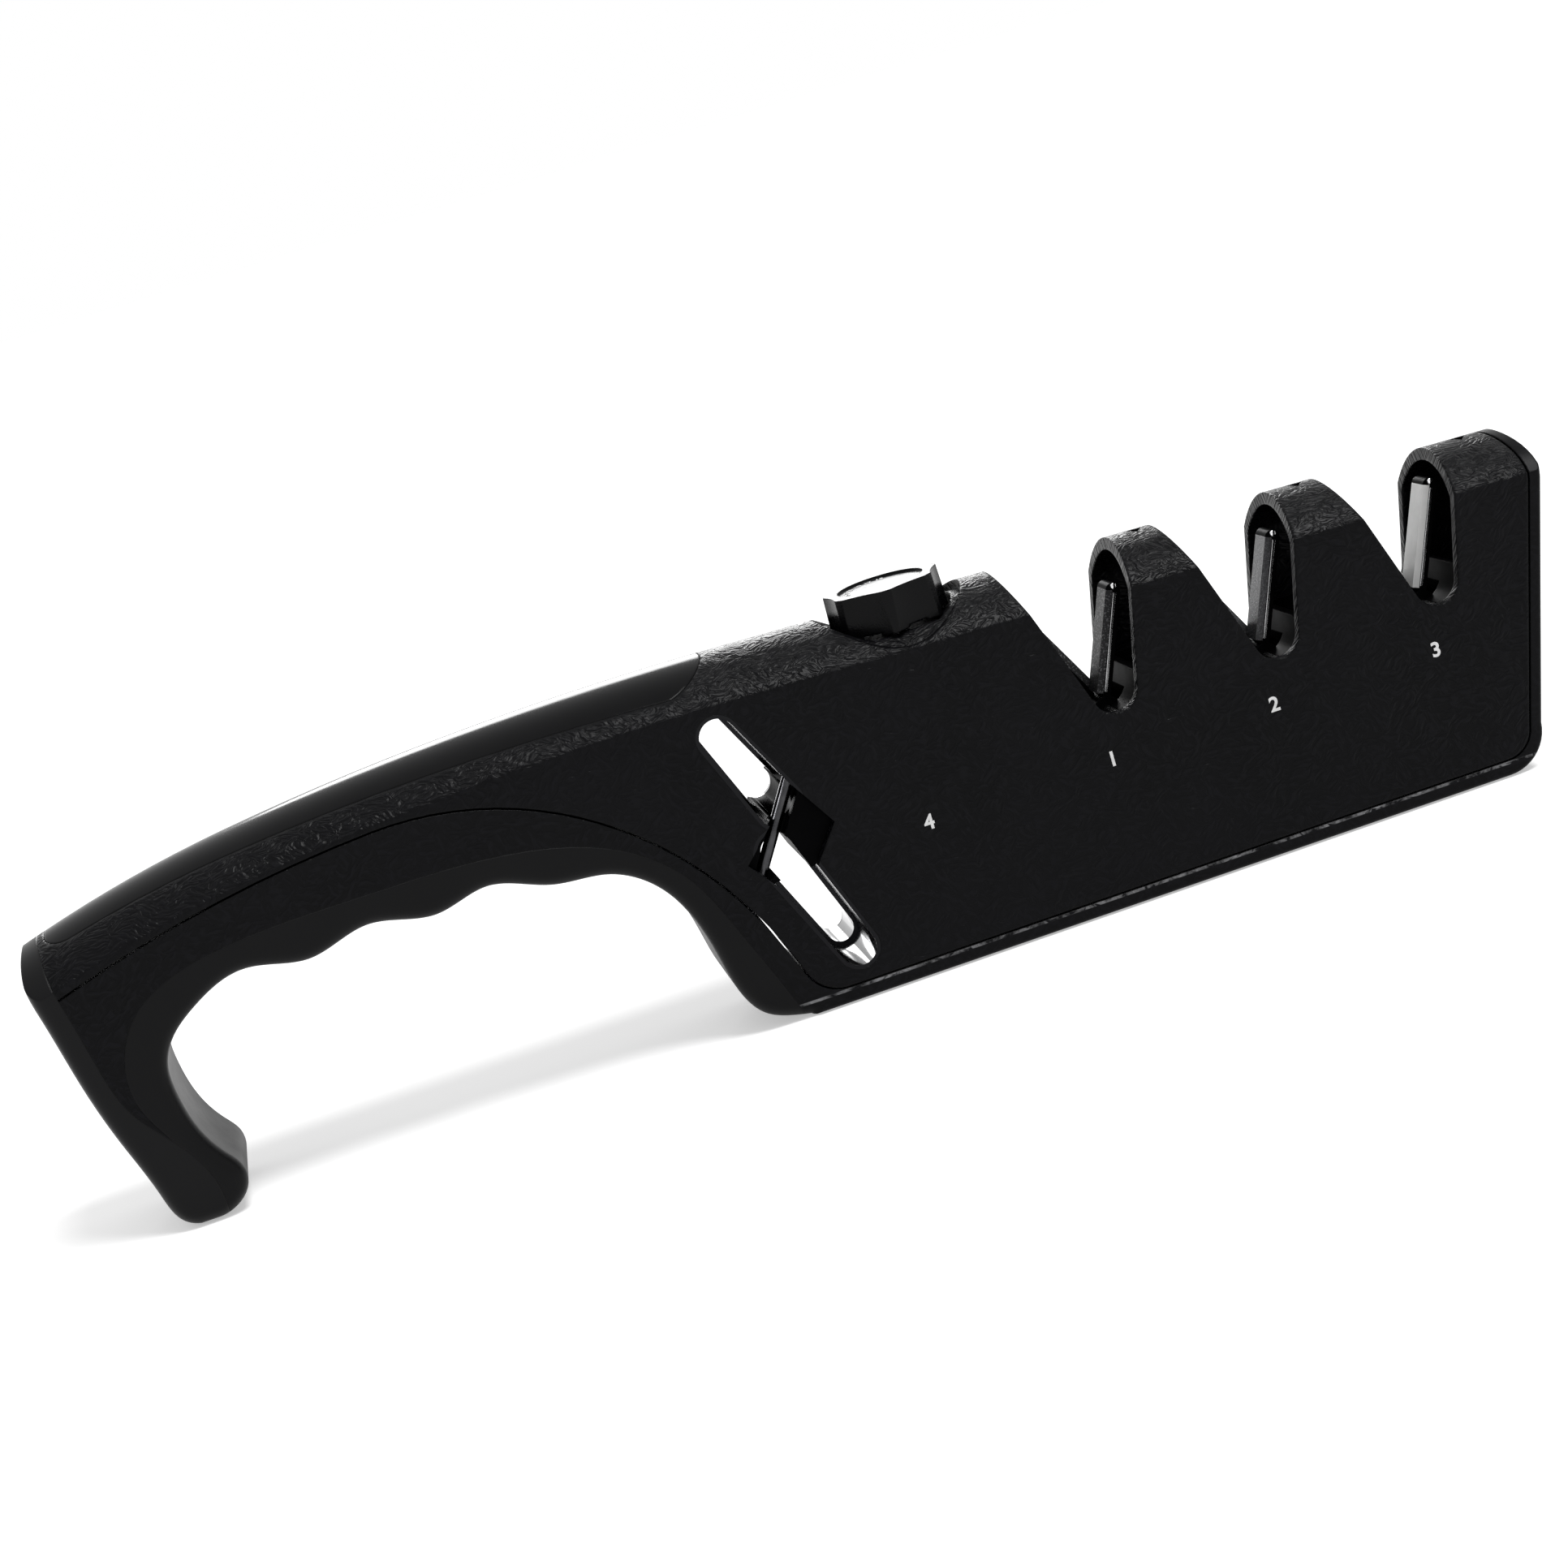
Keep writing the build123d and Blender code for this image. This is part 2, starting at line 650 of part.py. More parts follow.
def bar(i, side):
    """The abrasive bar on one arm."""
    y_low = front_layer_y if side > 0 else back_layer_y
    face_x = -side * crossing_rise * math.sin(math.radians(arm_angle_max))
    seat_x = face_x + side * bar_thickness
    top = bar_start + bar_length
    blank = prism(polygon([(face_x, bar_start), (seat_x, bar_start), (seat_x, top), (face_x, top)]), y_low, y_low + bar_width)
    return at_pivot(blank, i, limb_angle(side))


def slider(side):
    """A long slider with a peg for each tail and one for the cam. Side is 1 for the front one."""
    y_low = front_slider_y if side > 0 else back_slider_y
    y_high = y_low + slider_thickness
    z_low = slider_z - slider_height / 2
    z_high = slider_z + slider_height / 2
    peg_x = knob_x - side * cam_track_radius
    margin = peg_radius + slider_tab_margin
    shape = slab(peg_x - margin, pivots_x[-1] + slider_end_reach, y_low, y_high, z_low, z_high)
    tab_low, tab_high = (y_low, margin) if side > 0 else (-margin, y_high)
    shape += slab(peg_x - margin, peg_x + margin, tab_low, tab_high, z_high - slider_tab_height, z_high)
    shape += rod(peg_x, 0, z_high, z_high + cam_peg_rise, peg_radius)
    for x in pivots_x:
        tail_x = x - side * slider_travel / 2
        if side > 0:
            shape += cross_rod(tail_x, slider_z, y_high, y_high + peg_reach, peg_radius)
        else:
            shape += cross_rod(tail_x, slider_z, y_low - peg_reach, y_low, peg_radius)
    return shape


def cam_track(start_angle):
    """A spiral slot that draws a peg inwards as the knob turns."""
    count = 7
    span = knob_turn_angle + 2 * cam_track_margin_angle
    lead = slider_travel / knob_turn_angle
    half = peg_radius + fork_play
    inner, outer = [], []
    for k in range(count):
        turn = -cam_track_margin_angle + span * k / (count - 1)
        angle = math.radians(start_angle - turn)
        radius = cam_track_radius - lead * turn
        inner.append(Vector((radius - half) * math.cos(angle), (radius - half) * math.sin(angle)))
        outer.append(Vector((radius + half) * math.cos(angle), (radius + half) * math.sin(angle)))
    ends = []
    for k, way in ((0, 1), (count - 1, -1)):
        middle = (inner[k] + outer[k]) / 2
        along = Vector(-middle.Y, middle.X).normalized() * half * way
        ends.append(arc(inner[k], middle + along, outer[k]))
    face = Face(Wire([Edge.make_spline(inner), ends[1], Edge.make_spline(outer), ends[0]]))
    return extrude(face, amount=cam_thickness, dir=(0, 0, 1))


def cam_disc():
    disc = rod(0, 0, 0, cam_thickness, cam_radius) + rod(0, 0, cam_thickness, cam_thickness + cam_hub_height, cam_hub_radius)
    for start_angle in (180, 0):
        disc -= cam_track(start_angle)
    return Pos(knob_x, 0, cam_bottom) * disc - knob_shaft_blank()


def knob_shaft_blank():
    """The shaft as its bores see it, with a flat at each end."""
    top = knob_bottom + shaft_grip
    blank = rod(knob_x, 0, cam_bottom, top, shaft_radius)
    flat_x = knob_x + shaft_radius - shaft_flat
    for z_low, z_high in ((cam_bottom, cam_bottom + cam_thickness + cam_hub_height), (knob_bottom, top)):
        blank -= slab(flat_x, flat_x + shaft_radius, -shaft_radius, shaft_radius, z_low, z_high)
    return blank


def knob_shaft():
    clip_z = bushing_bottom - clip_gap - clip_thickness
    ring = rod(knob_x, 0, clip_z, clip_z + clip_thickness, shaft_radius + clip_width)
    ring -= rod(knob_x, 0, clip_z, clip_z + clip_thickness, shaft_radius - clip_groove)
    return knob_shaft_blank() - ring - rod(knob_x, 0, cam_bottom, cam_bottom + cam_screw_length, cam_screw_radius)


def shaft_clip():
    z = bushing_bottom - clip_gap - clip_thickness
    ring = rod(knob_x, 0, z, z + clip_thickness, shaft_radius - clip_groove + clip_width)
    ring -= rod(knob_x, 0, z, z + clip_thickness, shaft_radius - clip_groove)
    mouth = slab(knob_x, knob_x + shaft_radius + clip_width, -clip_mouth / 2, clip_mouth / 2, z, z + clip_thickness)
    return ring - mouth


def cam_screw():
    return screw(knob_x, 0, cam_bottom, cam_screw_radius, cam_screw_length, cam_screw_head_radius, cam_screw_head)


def knob_bushing():
    floor = knob_bottom - knob_gap
    sleeve = shaft_radius + shaft_play + bushing_wall
    body = rod(knob_x, 0, bushing_bottom, floor, sleeve)
    body += rod(knob_x, 0, floor - bushing_flange_thickness, floor, sleeve + bushing_flange)
    return body - rod(knob_x, 0, bushing_bottom, floor, shaft_radius + shaft_play)


def angle_knob():
    """The fluted knob, with a dial recess on top and a hollow and detent ring below."""
    body = extrude(Circle(knob_radius), amount=knob_height, taper=math.degrees(math.atan((knob_radius - knob_top_radius) / knob_height)))
    for k in range(knob_flutes):
        angle = math.radians(flute_phase_angle + 360 * k / knob_flutes)
        reach = knob_radius - flute_depth + flute_radius
        body -= rod(reach * math.cos(angle), reach * math.sin(angle), 0, knob_height, flute_radius)
    body -= rod(0, 0, knob_height - dial_recess, knob_height, dial_radius)
    body -= rod(0, 0, 0, knob_cavity_depth, knob_cavity_outer) - rod(0, 0, 0, knob_cavity_depth, knob_cavity_inner)
    groove = rod(0, 0, 0, detent_groove_depth, detent_place_radius + detent_groove)
    body -= groove - rod(0, 0, 0, detent_groove_depth, detent_place_radius - detent_groove)
    turns = round(knob_turn_angle / detent_angle) + 1
    for k in range(turns):
        angle = math.radians(-detent_angle * k)
        centre = Pos(detent_place_radius * math.cos(angle), detent_place_radius * math.sin(angle),
                     detent_dimple_depth - detent_dimple_radius)
        body -= centre * Sphere(detent_dimple_radius)
    return Pos(knob_x, 0, knob_bottom) * body - knob_shaft_blank()


def detent_ball():
    return Pos(knob_x + detent_place_radius, 0, knob_bottom + ball_proud - ball_radius) * Sphere(ball_radius)


def detent_spring():
    """A wire coil under the ball, standing on the floor of its hole."""
    radius = ball_radius - 2 * spring_wire
    height = spring_length - 2 * spring_wire
    path = Helix(pitch=height / spring_turns, height=height, radius=radius)
    ring = Plane(origin=path @ 0, z_dir=path % 0) * Circle(spring_wire)
    coil = sweep(ring, path=path)
    z_low = knob_bottom - knob_gap - detent_depth + spring_wire
    return Pos(knob_x + detent_place_radius, 0, z_low) * coil


def save(name, shapes):
    """Writes one piece, or a set of alike pieces, to its own file."""
    solids = []
    for shape in shapes if isinstance(shapes, list) else [shapes]:
        solids += shape.solids()
    whole = solids[0] if len(solids) == 1 else Compound(children=solids)
    export_step(whole, "parts/" + name + ".step")
    print(name, len(solids), round(sum(s.volume for s in solids)), [round(v, 1) for v in whole.bounding_box().size])


os.makedirs("parts", exist_ok=True)
block = housing_block()
save("upper_cover", upper_cover(block))
save("lower_frame", lower_frame(block))
save("soft_grip", soft_grip(block))
save("end_cap", end_cap(block))
save("handle_top_strip", handle_top_strip(block))
save("base_pads", base_pads())
liners = scissor_liners()
save("scissor_liner_upper", liners[0])
save("scissor_liner_lower", liners[1])
save("scissor_insert", scissor_insert())
save("scissor_rod", scissor_rod())
save("housing_screws", housing_screws())
save("bar_carrier", bar_carrier())
save("pivot_pins", pivot_pins())
for i in range(notch_count):
    save("right_arm_" + str(i + 1), arm(i, 1))
    save("left_arm_" + str(i + 1), arm(i, -1))
    save("right_bar_" + str(i + 1), bar(i, 1))
    save("left_bar_" + str(i + 1), bar(i, -1))
save("front_slider", slider(1))
save("back_slider", slider(-1))
save("cam_disc", cam_disc())
save("cam_screw", cam_screw())
save("knob_shaft", knob_shaft())
save("shaft_clip", shaft_clip())
save("knob_bushing", knob_bushing())
save("angle_knob", angle_knob())
save("detent_ball", detent_ball())
save("detent_spring", detent_spring())
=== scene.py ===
import bpy
import math
from mathutils import Matrix, Vector


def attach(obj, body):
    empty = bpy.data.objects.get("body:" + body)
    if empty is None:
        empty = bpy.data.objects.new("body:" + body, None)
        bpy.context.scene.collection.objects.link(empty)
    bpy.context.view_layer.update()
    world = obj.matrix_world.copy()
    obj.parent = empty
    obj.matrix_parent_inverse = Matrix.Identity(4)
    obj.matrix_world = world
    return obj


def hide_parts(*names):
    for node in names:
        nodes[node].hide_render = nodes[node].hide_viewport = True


# Pull through knife sharpener on a white table. Metres, with the handle at -X and the front at -Y.

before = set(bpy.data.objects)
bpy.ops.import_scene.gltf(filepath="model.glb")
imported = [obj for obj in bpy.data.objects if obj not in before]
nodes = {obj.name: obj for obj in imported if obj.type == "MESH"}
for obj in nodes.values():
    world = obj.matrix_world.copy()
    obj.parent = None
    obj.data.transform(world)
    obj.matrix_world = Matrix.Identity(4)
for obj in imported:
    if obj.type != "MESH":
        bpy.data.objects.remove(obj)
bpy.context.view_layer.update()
print("frame loaded:", len(nodes), "nodes")

scene = bpy.context.scene
scene.view_settings.view_transform = "Standard"

# camera, from the photograph's perspective
photoCamera = {
    "place": (-0.078, -0.59725, 0.1696),
    "heading": 6.957,          # degrees to the right of +Y
    "tilt": 12.03,             # degrees down
    "roll": -17.06,            # the sharpener climbs across the picture
    "lens": 74.1,
    "sensor": 36.0,
    "clip": (0.01, 20.0),      # nearest and farthest that it sees
}


def addCamera(spec):
    data = bpy.data.cameras.new("photoCamera")
    data.lens = spec["lens"]
    data.sensor_width = spec["sensor"]
    data.clip_start, data.clip_end = spec["clip"]
    camera = bpy.data.objects.new("photoCamera", data)
    scene.collection.objects.link(camera)
    turn = (Matrix.Rotation(math.radians(-spec["heading"]), 4, "Z")
            @ Matrix.Rotation(math.radians(90 - spec["tilt"]), 4, "X")
            @ Matrix.Rotation(math.radians(spec["roll"]), 4, "Z"))
    camera.matrix_world = Matrix.Translation(spec["place"]) @ turn
    scene.camera = camera


addCamera(photoCamera)
print("camera placed")


# small helpers that place and link shader nodes
def fill(tree, node, values):
    # a number or a tuple is set on the input, and another node's output is linked to it
    for socket, value in values.items():
        if isinstance(value, (int, float, tuple)):
            node.inputs[socket].default_value = value
        else:
            tree.links.new(value, node.inputs[socket])
    return node


def addNode(tree, kind, values):
    return fill(tree, tree.nodes.new("ShaderNode" + kind), values)


def mathNode(tree, operation, *values):
    node = tree.nodes.new("ShaderNodeMath")
    node.operation = operation
    return fill(tree, node, dict(enumerate(values))).outputs[0]


def vectorNode(tree, operation, *values):
    node = tree.nodes.new("ShaderNodeVectorMath")
    node.operation = operation
    return fill(tree, node, dict(enumerate(values)))


def mixNode(tree, kind, mask, low, high):
    node = tree.nodes.new("ShaderNodeMix")
    node.data_type = kind
    return fill(tree, node, {"Factor": mask, "A": low, "B": high}).outputs["Result"]


def mixColors(tree, mask, low, high):
    low, high = [(*color, 1) if isinstance(color, tuple) else color for color in (low, high)]
    return mixNode(tree, "RGBA", mask, low, high)


def ramp(tree, value, low, high, toLow=0.0, toHigh=1.0):
    limits = {"From Min": low, "From Max": high, "To Min": toLow, "To Max": toHigh}
    return addNode(tree, "MapRange", {"Value": value, **limits}).outputs["Result"]


def joinXYZ(tree, *values):
    return addNode(tree, "CombineXYZ", dict(enumerate(values))).outputs[0]


def objectPlace(tree):
    return addNode(tree, "TexCoord", {}).outputs["Object"]


def placeAlong(tree, axis):
    # how far along an axis a point of the piece lies
    return vectorNode(tree, "DOT_PRODUCT", objectPlace(tree), axis).outputs["Value"]


def noise(tree, place, scale, detail, roughness=0.5):
    values = {"Vector": place, "Scale": scale, "Detail": detail, "Roughness": roughness}
    return addNode(tree, "TexNoise", values).outputs


def cells(tree, place, scale):
    # random cells: one number for each cell, and the distance from its middle
    node = addNode(tree, "TexVoronoi", {"Vector": place, "Scale": scale})
    pick = addNode(tree, "SeparateColor", {"Color": node.outputs["Color"]})
    return pick.outputs["Red"], node.outputs["Distance"]


# studio: white table, a lamp in front for the band under the crest and one behind for the crest
studio = {
    "floorSize": 30.0,
    "floorColor": 0.84,
    "floorLift": 0.42,         # glow that takes the seen floor to white and leaves the shadow
    "backdrop": 1.0,           # 1 is white
    "worldLight": 0.5,
    "lamps": {
        "frontLamp": {"from": (0.28, -0.31, 0.91), "spread": 20.0, "power": 1.9},
        "backLamp": {"from": (0.10, 0.95, 0.30), "spread": 22.0, "power": 0.8},
    },
}


def addLamp(name, spec):
    data = bpy.data.lights.new(name, "SUN")
    data.angle = math.radians(spec["spread"])
    data.energy = spec["power"]
    lamp = bpy.data.objects.new(name, data)
    scene.collection.objects.link(lamp)
    lamp.matrix_world = Vector(spec["from"]).to_track_quat("Z", "Y").to_matrix().to_4x4()


def seenRays(tree):
    # rays that show the studio itself: straight to the camera, by a gloss or through glass
    path = addNode(tree, "LightPath", {}).outputs
    direct = mathNode(tree, "MAXIMUM", path["Is Camera Ray"], path["Is Glossy Ray"])
    return mathNode(tree, "MAXIMUM", direct, path["Is Transmission Ray"])


def addWorld(spec):
    world = bpy.data.worlds.new("studioWorld")
    scene.world = world
    world.use_nodes = True
    tree = world.node_tree
    tree.nodes.clear()
    light, white = [addNode(tree, "Background", {"Color": (1, 1, 1, 1), "Strength": strength})
                    for strength in (spec["worldLight"], spec["backdrop"])]
    mix = addNode(tree, "MixShader",
                  {"Fac": seenRays(tree), 1: light.outputs[0], 2: white.outputs[0]})
    addNode(tree, "OutputWorld", {"Surface": mix.outputs[0]})


def addFloor(spec):
    bpy.ops.object.select_all(action="DESELECT")
    bpy.ops.mesh.primitive_plane_add(size=spec["floorSize"], location=(0, 0, 0))
    floor = bpy.context.object
    floor.name = "tableTop"
    paint = bpy.data.materials.new("tableWhite")
    paint.use_nodes = True
    tree = paint.node_tree
    tree.nodes.clear()
    tone = spec["floorColor"]
    matte = addNode(tree, "BsdfDiffuse", {"Color": (tone, tone, tone, 1)})
    lift = mathNode(tree, "MULTIPLY", seenRays(tree), spec["floorLift"])
    glow = addNode(tree, "Emission", {"Strength": lift})
    both = addNode(tree, "AddShader", {0: matte.outputs[0], 1: glow.outputs[0]})
    addNode(tree, "OutputMaterial", {"Surface": both.outputs[0]})
    floor.data.materials.append(paint)


addWorld(studio)
addFloor(studio)
for lampName, lampSpec in studio["lamps"].items():
    addLamp(lampName, lampSpec)
print("studio lit")


# effects that several finishes share, each a node group with its own named inputs
def newGroup(name, inputs, outputs):
    group = bpy.data.node_groups.new(name, "ShaderNodeTree")
    for label, value in inputs.items():
        kind = "NodeSocketVector" if isinstance(value, tuple) else "NodeSocketFloat"
        socket = group.interface.new_socket(label, in_out="INPUT", socket_type=kind)
        socket.default_value = value
    for label in outputs:
        group.interface.new_socket(label, in_out="OUTPUT", socket_type="NodeSocketFloat")
    given = group.nodes.new("NodeGroupInput").outputs
    return group, given, group.nodes.new("NodeGroupOutput")


def useGroup(tree, group, values):
    node = tree.nodes.new("ShaderNodeGroup")
    node.node_tree = group
    return fill(tree, node, values).outputs


leather = {
    "inputs": {"Along": 420.0, "Across": 1250.0, "Patches": 330.0, "Dust": 0.12},
    "driftScale": 260.0,
    "drift": 0.0024,           # how far the patches wander
    # direction of each layer of wrinkles in degrees, and the cell value from which it shows
    "layers": ((-38.0, None), (14.0, 0.34), (62.0, 0.68)),
    "border": 0.02,
    "contrast": (0.36, 0.64),
    "speckle": 5200.0,
    "ridge": (0.45, 1.05),     # heights over which the colour turns to that of the ridges
    "fade": 0.004,             # length over which the grain dies away where it ends
}


def makeLeatherGrain(spec):
    # patches of short parallel wrinkles that change direction from patch to patch
    group, given, result = newGroup("leatherGrain", spec["inputs"], ["Height"])
    place = objectPlace(group)
    parts = addNode(group, "SeparateXYZ", {0: place}).outputs
    rise = mathNode(group, "SUBTRACT", parts["Z"], mathNode(group, "ABSOLUTE", parts["Y"]))
    unrolled = joinXYZ(group, parts["X"], rise, 0.0)
    drift = noise(group, unrolled, spec["driftScale"], detail=1.0)["Color"]
    pushed = vectorNode(group, "SUBTRACT", drift, (0.5, 0.5, 0.5)).outputs["Vector"]
    pushed = fill(group, vectorNode(group, "SCALE", pushed), {"Scale": spec["drift"]})
    moved = vectorNode(group, "ADD", unrolled, pushed.outputs["Vector"]).outputs["Vector"]
    pick = cells(group, moved, given["Patches"])[0]
    stretch = joinXYZ(group, given["Along"], given["Across"], 0.0)
    height = None
    for degrees, start in spec["layers"]:
        turned = group.nodes.new("ShaderNodeVectorRotate")
        turned.rotation_type = "Z_AXIS"
        fill(group, turned, {"Vector": moved, "Angle": math.radians(degrees)})
        drawn = vectorNode(group, "MULTIPLY", turned.outputs["Vector"], stretch)
        strokes = noise(group, drawn.outputs["Vector"], 1.0, detail=1.0)["Fac"]
        wrinkles = ramp(group, strokes, *spec["contrast"])
        if height is None:
            height = wrinkles
        else:
            border = ramp(group, pick, start, start + spec["border"])
            height = mixNode(group, "FLOAT", border, height, wrinkles)
    speckle = noise(group, place, spec["speckle"], detail=2.0)["Fac"]
    rough = mathNode(group, "MULTIPLY", speckle, given["Dust"])
    fill(group, result, {"Height": mathNode(group, "ADD", height, rough)})
    return group


fineTooth = {"inputs": {"Points": 5200.0}, "detail": 3.0}


def makeFineGrain(spec):
    # the faint even tooth of a smooth moulding
    group, given, result = newGroup("fineGrain", spec["inputs"], ["Height"])
    speckle = noise(group, objectPlace(group), given["Points"], spec["detail"])
    fill(group, result, {"Height": speckle["Fac"]})
    return group


wear = {
    "inputs": {"Patches": 60.0, "Amount": 0.3},
    "detail": 5.0,
    "roughness": 0.65,
    "contrast": (0.38, 0.72),
}


def makeHandling(spec):
    # soft patches of wear and dust that lighten and roughen a moulding, and that also break up the
    # painted highlight on the frame's rail
    group, given, result = newGroup("handling", spec["inputs"], ["Mask"])
    broad = noise(group, objectPlace(group), given["Patches"], spec["detail"], spec["roughness"])
    shape = ramp(group, broad["Fac"], *spec["contrast"])
    fill(group, result, {"Mask": mathNode(group, "MULTIPLY", shape, given["Amount"])})
    return group


grains = {"inputs": {"Grains": 4200.0}, "bright": (0.72, 0.95)}


def makeGrit(spec):
    # diamond grit: tiny bright points in a dark bond
    group, given, result = newGroup("grit", spec["inputs"], ["Height", "Sparkle"])
    pick, away = cells(group, objectPlace(group), given["Grains"])
    fill(group, result, {"Height": mathNode(group, "SUBTRACT", 1.0, away),
                         "Sparkle": ramp(group, pick, *spec["bright"])})
    return group


drawnLines = {"inputs": {"Stretch": (40.0, 1500.0, 1500.0)}, "detail": 2.0}


def makeBrushing(spec):
    # fine drawn lines in ground or plated metal
    group, given, result = newGroup("brushing", spec["inputs"], ["Lines"])
    stretch = vectorNode(group, "MULTIPLY", objectPlace(group), given["Stretch"])
    lines = noise(group, stretch.outputs["Vector"], 1.0, spec["detail"])
    fill(group, result, {"Lines": lines["Fac"]})
    return group


thinLine = {
    "inputs": {"Axis": (0.0, 1.0, 0.0), "Level": 0.0, "Width": 0.0003},
    "softness": (0.7, 1.1),    # shares of the width over which the line fades out
}


def makeLayerLine(spec):
    # a thin line round a piece at one depth or height, 1 on the line and 0 off it
    group, given, result = newGroup("layerLine", spec["inputs"], ["Mask"])
    offset = mathNode(group, "SUBTRACT", placeAlong(group, given["Axis"]), given["Level"])
    share = mathNode(group, "DIVIDE", mathNode(group, "ABSOLUTE", offset), given["Width"])
    fill(group, result, {"Mask": ramp(group, share, *spec["softness"], 1.0, 0.0)})
    return group


leatherGrain = makeLeatherGrain(leather)
fineGrain = makeFineGrain(fineTooth)
handling = makeHandling(wear)
grit = makeGrit(grains)
brushing = makeBrushing(drawnLines)
layerLine = makeLayerLine(thinLine)

# finishes, where "edge" is the small radius that every moulded or plated edge has
edgeSamples = 8
lineDepth = 0.00002            # relief of the drawn lines in metal
gritDepth = 0.00012            # relief of the grit


def roundedEdges(tree, radius):
    node = addNode(tree, "Bevel", {"Radius": radius})
    node.samples = edgeSamples
    return node.outputs["Normal"]


def bumpFrom(tree, height, strength, distance, edge):
    values = {"Strength": strength, "Distance": distance, "Height": height}
    return addNode(tree, "Bump", {**values, "Normal": roundedEdges(tree, edge)}).outputs["Normal"]


def newFinish(name):
    finish = bpy.data.materials.new(name)
    finish.use_nodes = True
    return finish, finish.node_tree, finish.node_tree.nodes["Principled BSDF"]


def makePlastic(name, spec):
    finish, tree, surface = newFinish(name)
    worn = useGroup(tree, handling, {"Patches": spec["patches"], "Amount": spec["wear"]})["Mask"]
    color = mixColors(tree, worn, spec["color"], spec["wornColor"])
    # painted highlight: a thin light line along the top edge of the rail under the seam, broken into
    # dashes by wear patches
    if "paintedEdgeHighlight" in spec:
        edgeHighlight = spec["paintedEdgeHighlight"]
        line = useGroup(tree, layerLine, edgeHighlight["line"])["Mask"]
        broken = useGroup(tree, handling, {"Patches": edgeHighlight["patches"], "Amount": 1.0})["Mask"]
        color = mixColors(tree, mathNode(tree, "MULTIPLY", line, broken), color, edgeHighlight["color"])
    if spec["grain"] == "leather":
        height = useGroup(tree, leatherGrain, {"Dust": spec["dust"]})["Height"]
        color = mixColors(tree, ramp(tree, height, *leather["ridge"]), color, spec["ridgeColor"])
        if "grainEnds" in spec:
            ends = (spec["grainEnds"], spec["grainEnds"] + leather["fade"])
            kept = ramp(tree, placeAlong(tree, (1.0, 0.0, 0.0)), *ends, 1.0, 0.0)
            height = mathNode(tree, "MULTIPLY", height, kept)
    elif spec["grain"] == "fine":
        height = useGroup(tree, fineGrain, {"Points": spec["cells"]})["Height"]
    if spec["grain"] == "none":
        normal = roundedEdges(tree, spec["edge"])
    else:
        normal = bumpFrom(tree, height, spec["bump"], spec["depth"], spec["edge"])
    fill(tree, surface, {"Base Color": color, "Specular IOR Level": spec["specular"],
                         "Roughness": ramp(tree, worn, 0.0, 1.0, *spec["roughness"]),
                         "Normal": normal})
    return finish


